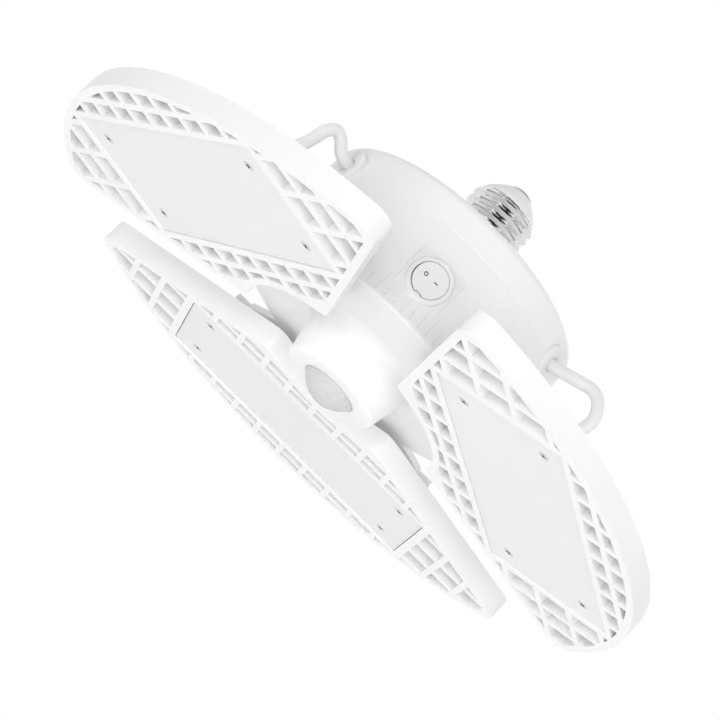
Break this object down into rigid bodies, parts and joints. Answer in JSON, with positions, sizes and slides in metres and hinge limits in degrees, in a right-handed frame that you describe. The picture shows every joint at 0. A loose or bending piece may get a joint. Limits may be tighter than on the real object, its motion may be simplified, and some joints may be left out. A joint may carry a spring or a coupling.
{
  "type": "garage light",
  "caption": "Screw-in garage light: a round drum with a motion sensor and rocker switch, and leaf-shaped LED panels that fold up on friction hinges.",
  "frame": {"origin": "centre of the flat ring on top of the collar, around the screw cap", "axes": "+Z along the screw cap into the lampholder; the switch faces -Y and the rear leaf points along +Y"},
  "size_m": [0.261, 0.2586, 0.1067],
  "materials": {
    "white_plastic": "fine satin moulding",
    "switch_plastic": "satin moulding",
    "insulator_plastic": "smooth moulding",
    "cable_white": "smooth white sheath",
    "diffuser_plastic": "frosted",
    "lens_plastic": "milky moulded facets",
    "cap_metal": "bright nickel plating",
    "screw_metal": "zinc plated",
    "bracket_paint": "white enamel",
    "circuit_board": "white solder mask",
    "driver_parts": "moulded",
    "led_resin": "yellow phosphor resin"
  },
  "bodies": {
    "lamp": {"screw_shell": "cap_metal", "cap_insulator": "insulator_plastic", "cap_contact": "cap_metal", "top_cover": "white_plastic", "cover_screws": "screw_metal", "housing_body": "white_plastic", "driver_board": "circuit_board", "driver_transformer": "driver_parts", "driver_capacitor": "driver_parts", "sensor_housing": "white_plastic", "sensor_lens": "lens_plastic", "sensor_board": "circuit_board", "sensor_element": "screw_metal", "switch_body": "switch_plastic", "right_grommet": "cable_white", "left_grommet": "cable_white", "rear_grommet": "cable_white", "right_cable": "cable_white", "left_cable": "cable_white", "rear_cable": "cable_white", "right_bracket": "bracket_paint", "left_bracket": "bracket_paint", "rear_bracket": "bracket_paint", "right_bracket_screws": "screw_metal", "left_bracket_screws": "screw_metal", "rear_bracket_screws": "screw_metal", "right_hinge_pins": "bracket_paint", "left_hinge_pins": "bracket_paint", "rear_hinge_pins": "bracket_paint"},
    "rocker": {"switch_rocker": "switch_plastic"},
    "right_leaf": {"right_leaf_frame": "white_plastic", "right_led_board": "circuit_board", "right_leds": "led_resin", "right_diffuser": "diffuser_plastic", "right_diffuser_screws": "screw_metal", "right_gland": "white_plastic"},
    "left_leaf": {"left_leaf_frame": "white_plastic", "left_led_board": "circuit_board", "left_leds": "led_resin", "left_diffuser": "diffuser_plastic", "left_diffuser_screws": "screw_metal", "left_gland": "white_plastic"},
    "rear_leaf": {"rear_leaf_frame": "white_plastic", "rear_led_board": "circuit_board", "rear_leds": "led_resin", "rear_diffuser": "diffuser_plastic", "rear_diffuser_screws": "screw_metal", "rear_gland": "white_plastic"}
  },
  "joints": [
    {"name": "right_leaf_hinge", "type": "hinge", "parent": "lamp", "child": "right_leaf", "pos_m": [0.05889, -0.034, -0.0556], "axis": [-0.5, -0.866, 0], "range_deg": [0, 90], "deforming": ["right_cable"]},
    {"name": "left_leaf_hinge", "type": "hinge", "parent": "lamp", "child": "left_leaf", "pos_m": [-0.05889, -0.034, -0.0556], "axis": [-0.5, 0.866, 0], "range_deg": [0, 90], "deforming": ["left_cable"]},
    {"name": "rear_leaf_hinge", "type": "hinge", "parent": "lamp", "child": "rear_leaf", "pos_m": [0, 0.068, -0.0556], "axis": [1, 0, 0], "range_deg": [0, 90], "deforming": ["rear_cable"]},
    {"name": "switch_rocker_pivot", "type": "hinge", "parent": "lamp", "child": "rocker", "pos_m": [0, -0.0553, -0.042], "axis": [0, 0, 1], "range_deg": [-10, 0]}
  ]
}
